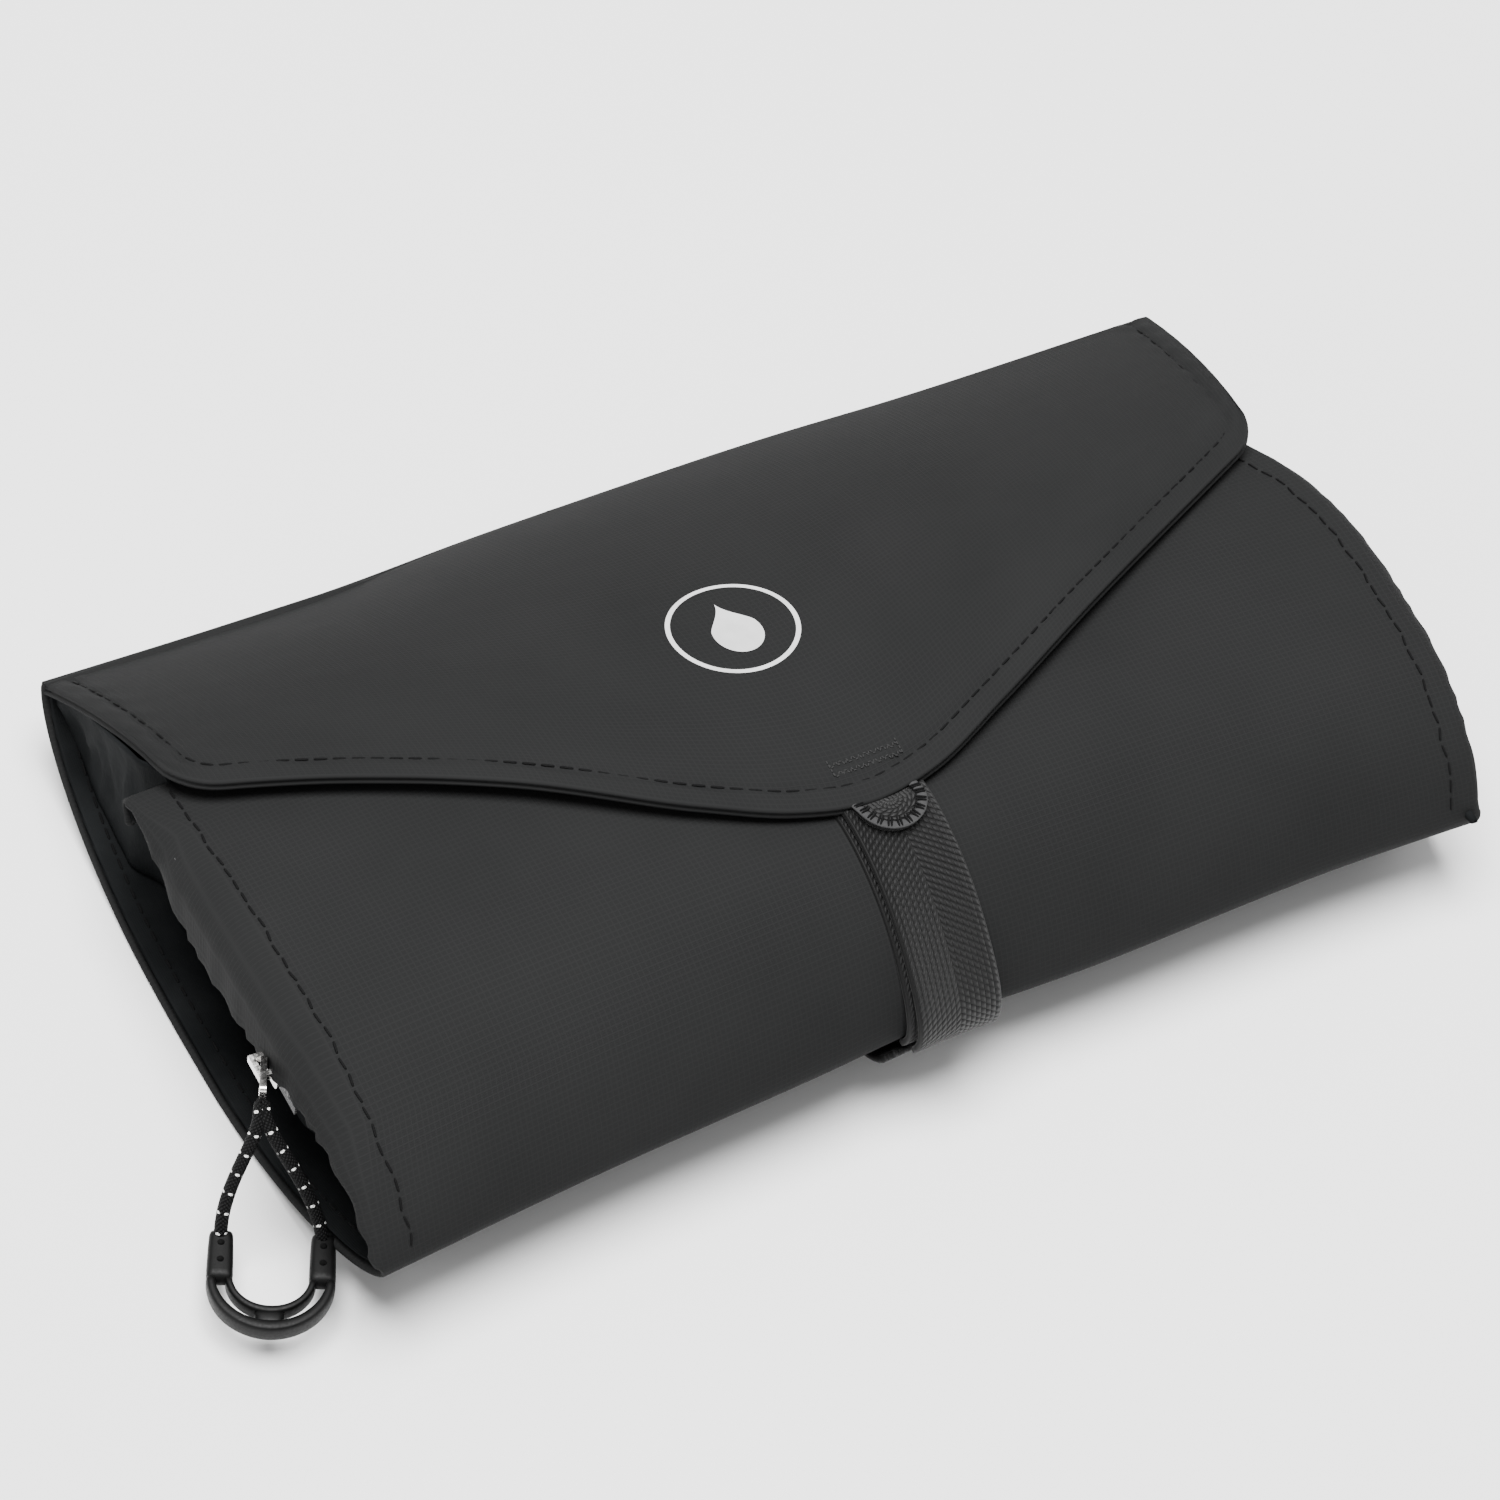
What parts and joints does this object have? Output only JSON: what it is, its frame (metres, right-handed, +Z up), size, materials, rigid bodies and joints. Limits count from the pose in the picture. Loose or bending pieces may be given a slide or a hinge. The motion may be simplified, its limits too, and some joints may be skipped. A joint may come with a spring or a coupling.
{
  "type": "hanging toiletry bag",
  "caption": "Padded roll-up toiletry bag, shut: a back section, a pocketed front section folded over it, a pointed flap with a pull tab, a front strap, zips with corded pulls and a stowed hook.",
  "frame": {"origin": "on the resting plane, under the middle of the bag's length and depth", "axes": "+X along the bag, the end with the visible zip pull at -X; +Y from the front fold to the spine; +Z up from the back section, which lies underneath, to the flap"},
  "size_m": [0.315, 0.1742, 0.06],
  "materials": {
    "outer_cloth": "fine ripstop weave, satin",
    "foam": "matt closed-cell foam",
    "lining_cloth": "thin satin nylon",
    "mesh": "fine mesh",
    "webbing": "herringbone webbing",
    "zip_tape": "matt twill tape",
    "zip_teeth": "coil",
    "nickel": "bright nickel plate",
    "hook_and_loop": "short pile",
    "cord": "braided cord with light flecks",
    "grip_rubber": "soft matt moulding",
    "hook_plastic": "fine texture"
  },
  "bodies": {
    "back_section": {"back_shell": "outer_cloth", "back_foam": "foam", "back_lining": "lining_cloth", "back_pocket_face": "mesh", "back_pocket_hem": "lining_cloth", "back_zip_tape": "zip_tape", "back_zip_teeth": "zip_teeth", "back_zip_stops": "nickel", "strap_anchor": "webbing", "hook_keeper": "webbing"},
    "flap": {"flap_shell": "outer_cloth", "flap_foam": "foam", "flap_lining": "lining_cloth", "flap_grip_patch": "hook_and_loop", "pull_tab": "webbing", "pull_tab_rim": "outer_cloth"},
    "front_section": {"front_shell": "outer_cloth", "front_foam": "foam", "front_lining": "lining_cloth", "front_inner_panel": "mesh", "front_edge_binding": "webbing", "front_gusset_left": "outer_cloth", "front_gusset_right": "outer_cloth", "front_zip_tape": "zip_tape", "front_zip_teeth": "zip_teeth", "front_zip_stops": "nickel", "strap": "webbing", "strap_loop_patch": "hook_and_loop"},
    "front_zip_slider": {"front_slider": "nickel"},
    "front_zip_pull": {"front_pull_loop": "nickel", "front_pull_cord": "cord", "front_pull_grip": "grip_rubber"},
    "back_zip_slider": {"back_slider": "nickel", "back_pull_loop": "nickel", "back_pull_cord": "cord", "back_pull_grip": "grip_rubber"},
    "hanging_hook": {"hook": "hook_plastic"}
  },
  "joints": [
    {"name": "flap_fold", "type": "hinge", "parent": "back_section", "child": "flap", "pos_m": [0, 0.0872, 0.027], "axis": [-1, 0, 0], "range_deg": [0, 175]},
    {"name": "front_fold", "type": "hinge", "parent": "back_section", "child": "front_section", "pos_m": [0, -0.087, 0.0249], "axis": [1, 0, 0], "range_deg": [0, 154]},
    {"name": "front_zip", "type": "slide", "parent": "front_section", "child": "front_zip_slider", "axis": [0, 0.9986, 0.0535], "range_m": [0, 0.043]},
    {"name": "front_pull_swing", "type": "hinge", "parent": "front_zip_slider", "child": "front_zip_pull", "pos_m": [-0.1444, -0.036, 0.03284], "axis": [0, 0, -1], "range_deg": [0, 124]},
    {"name": "back_zip", "type": "slide", "parent": "back_section", "child": "back_zip_slider", "axis": [-1, 0, 0], "range_m": [0, 0.232]},
    {"name": "hook_fold", "type": "hinge", "parent": "back_section", "child": "hanging_hook", "pos_m": [0, 0.073, 0.0306], "axis": [-1, 0, 0], "range_deg": [0, 150]}
  ],
  "couplings": [
    {"joint": "front_fold", "follows": "flap_fold", "ratio": 0.88},
    {"joint": "hook_fold", "follows": "flap_fold", "ratio": 0.857}
  ]
}
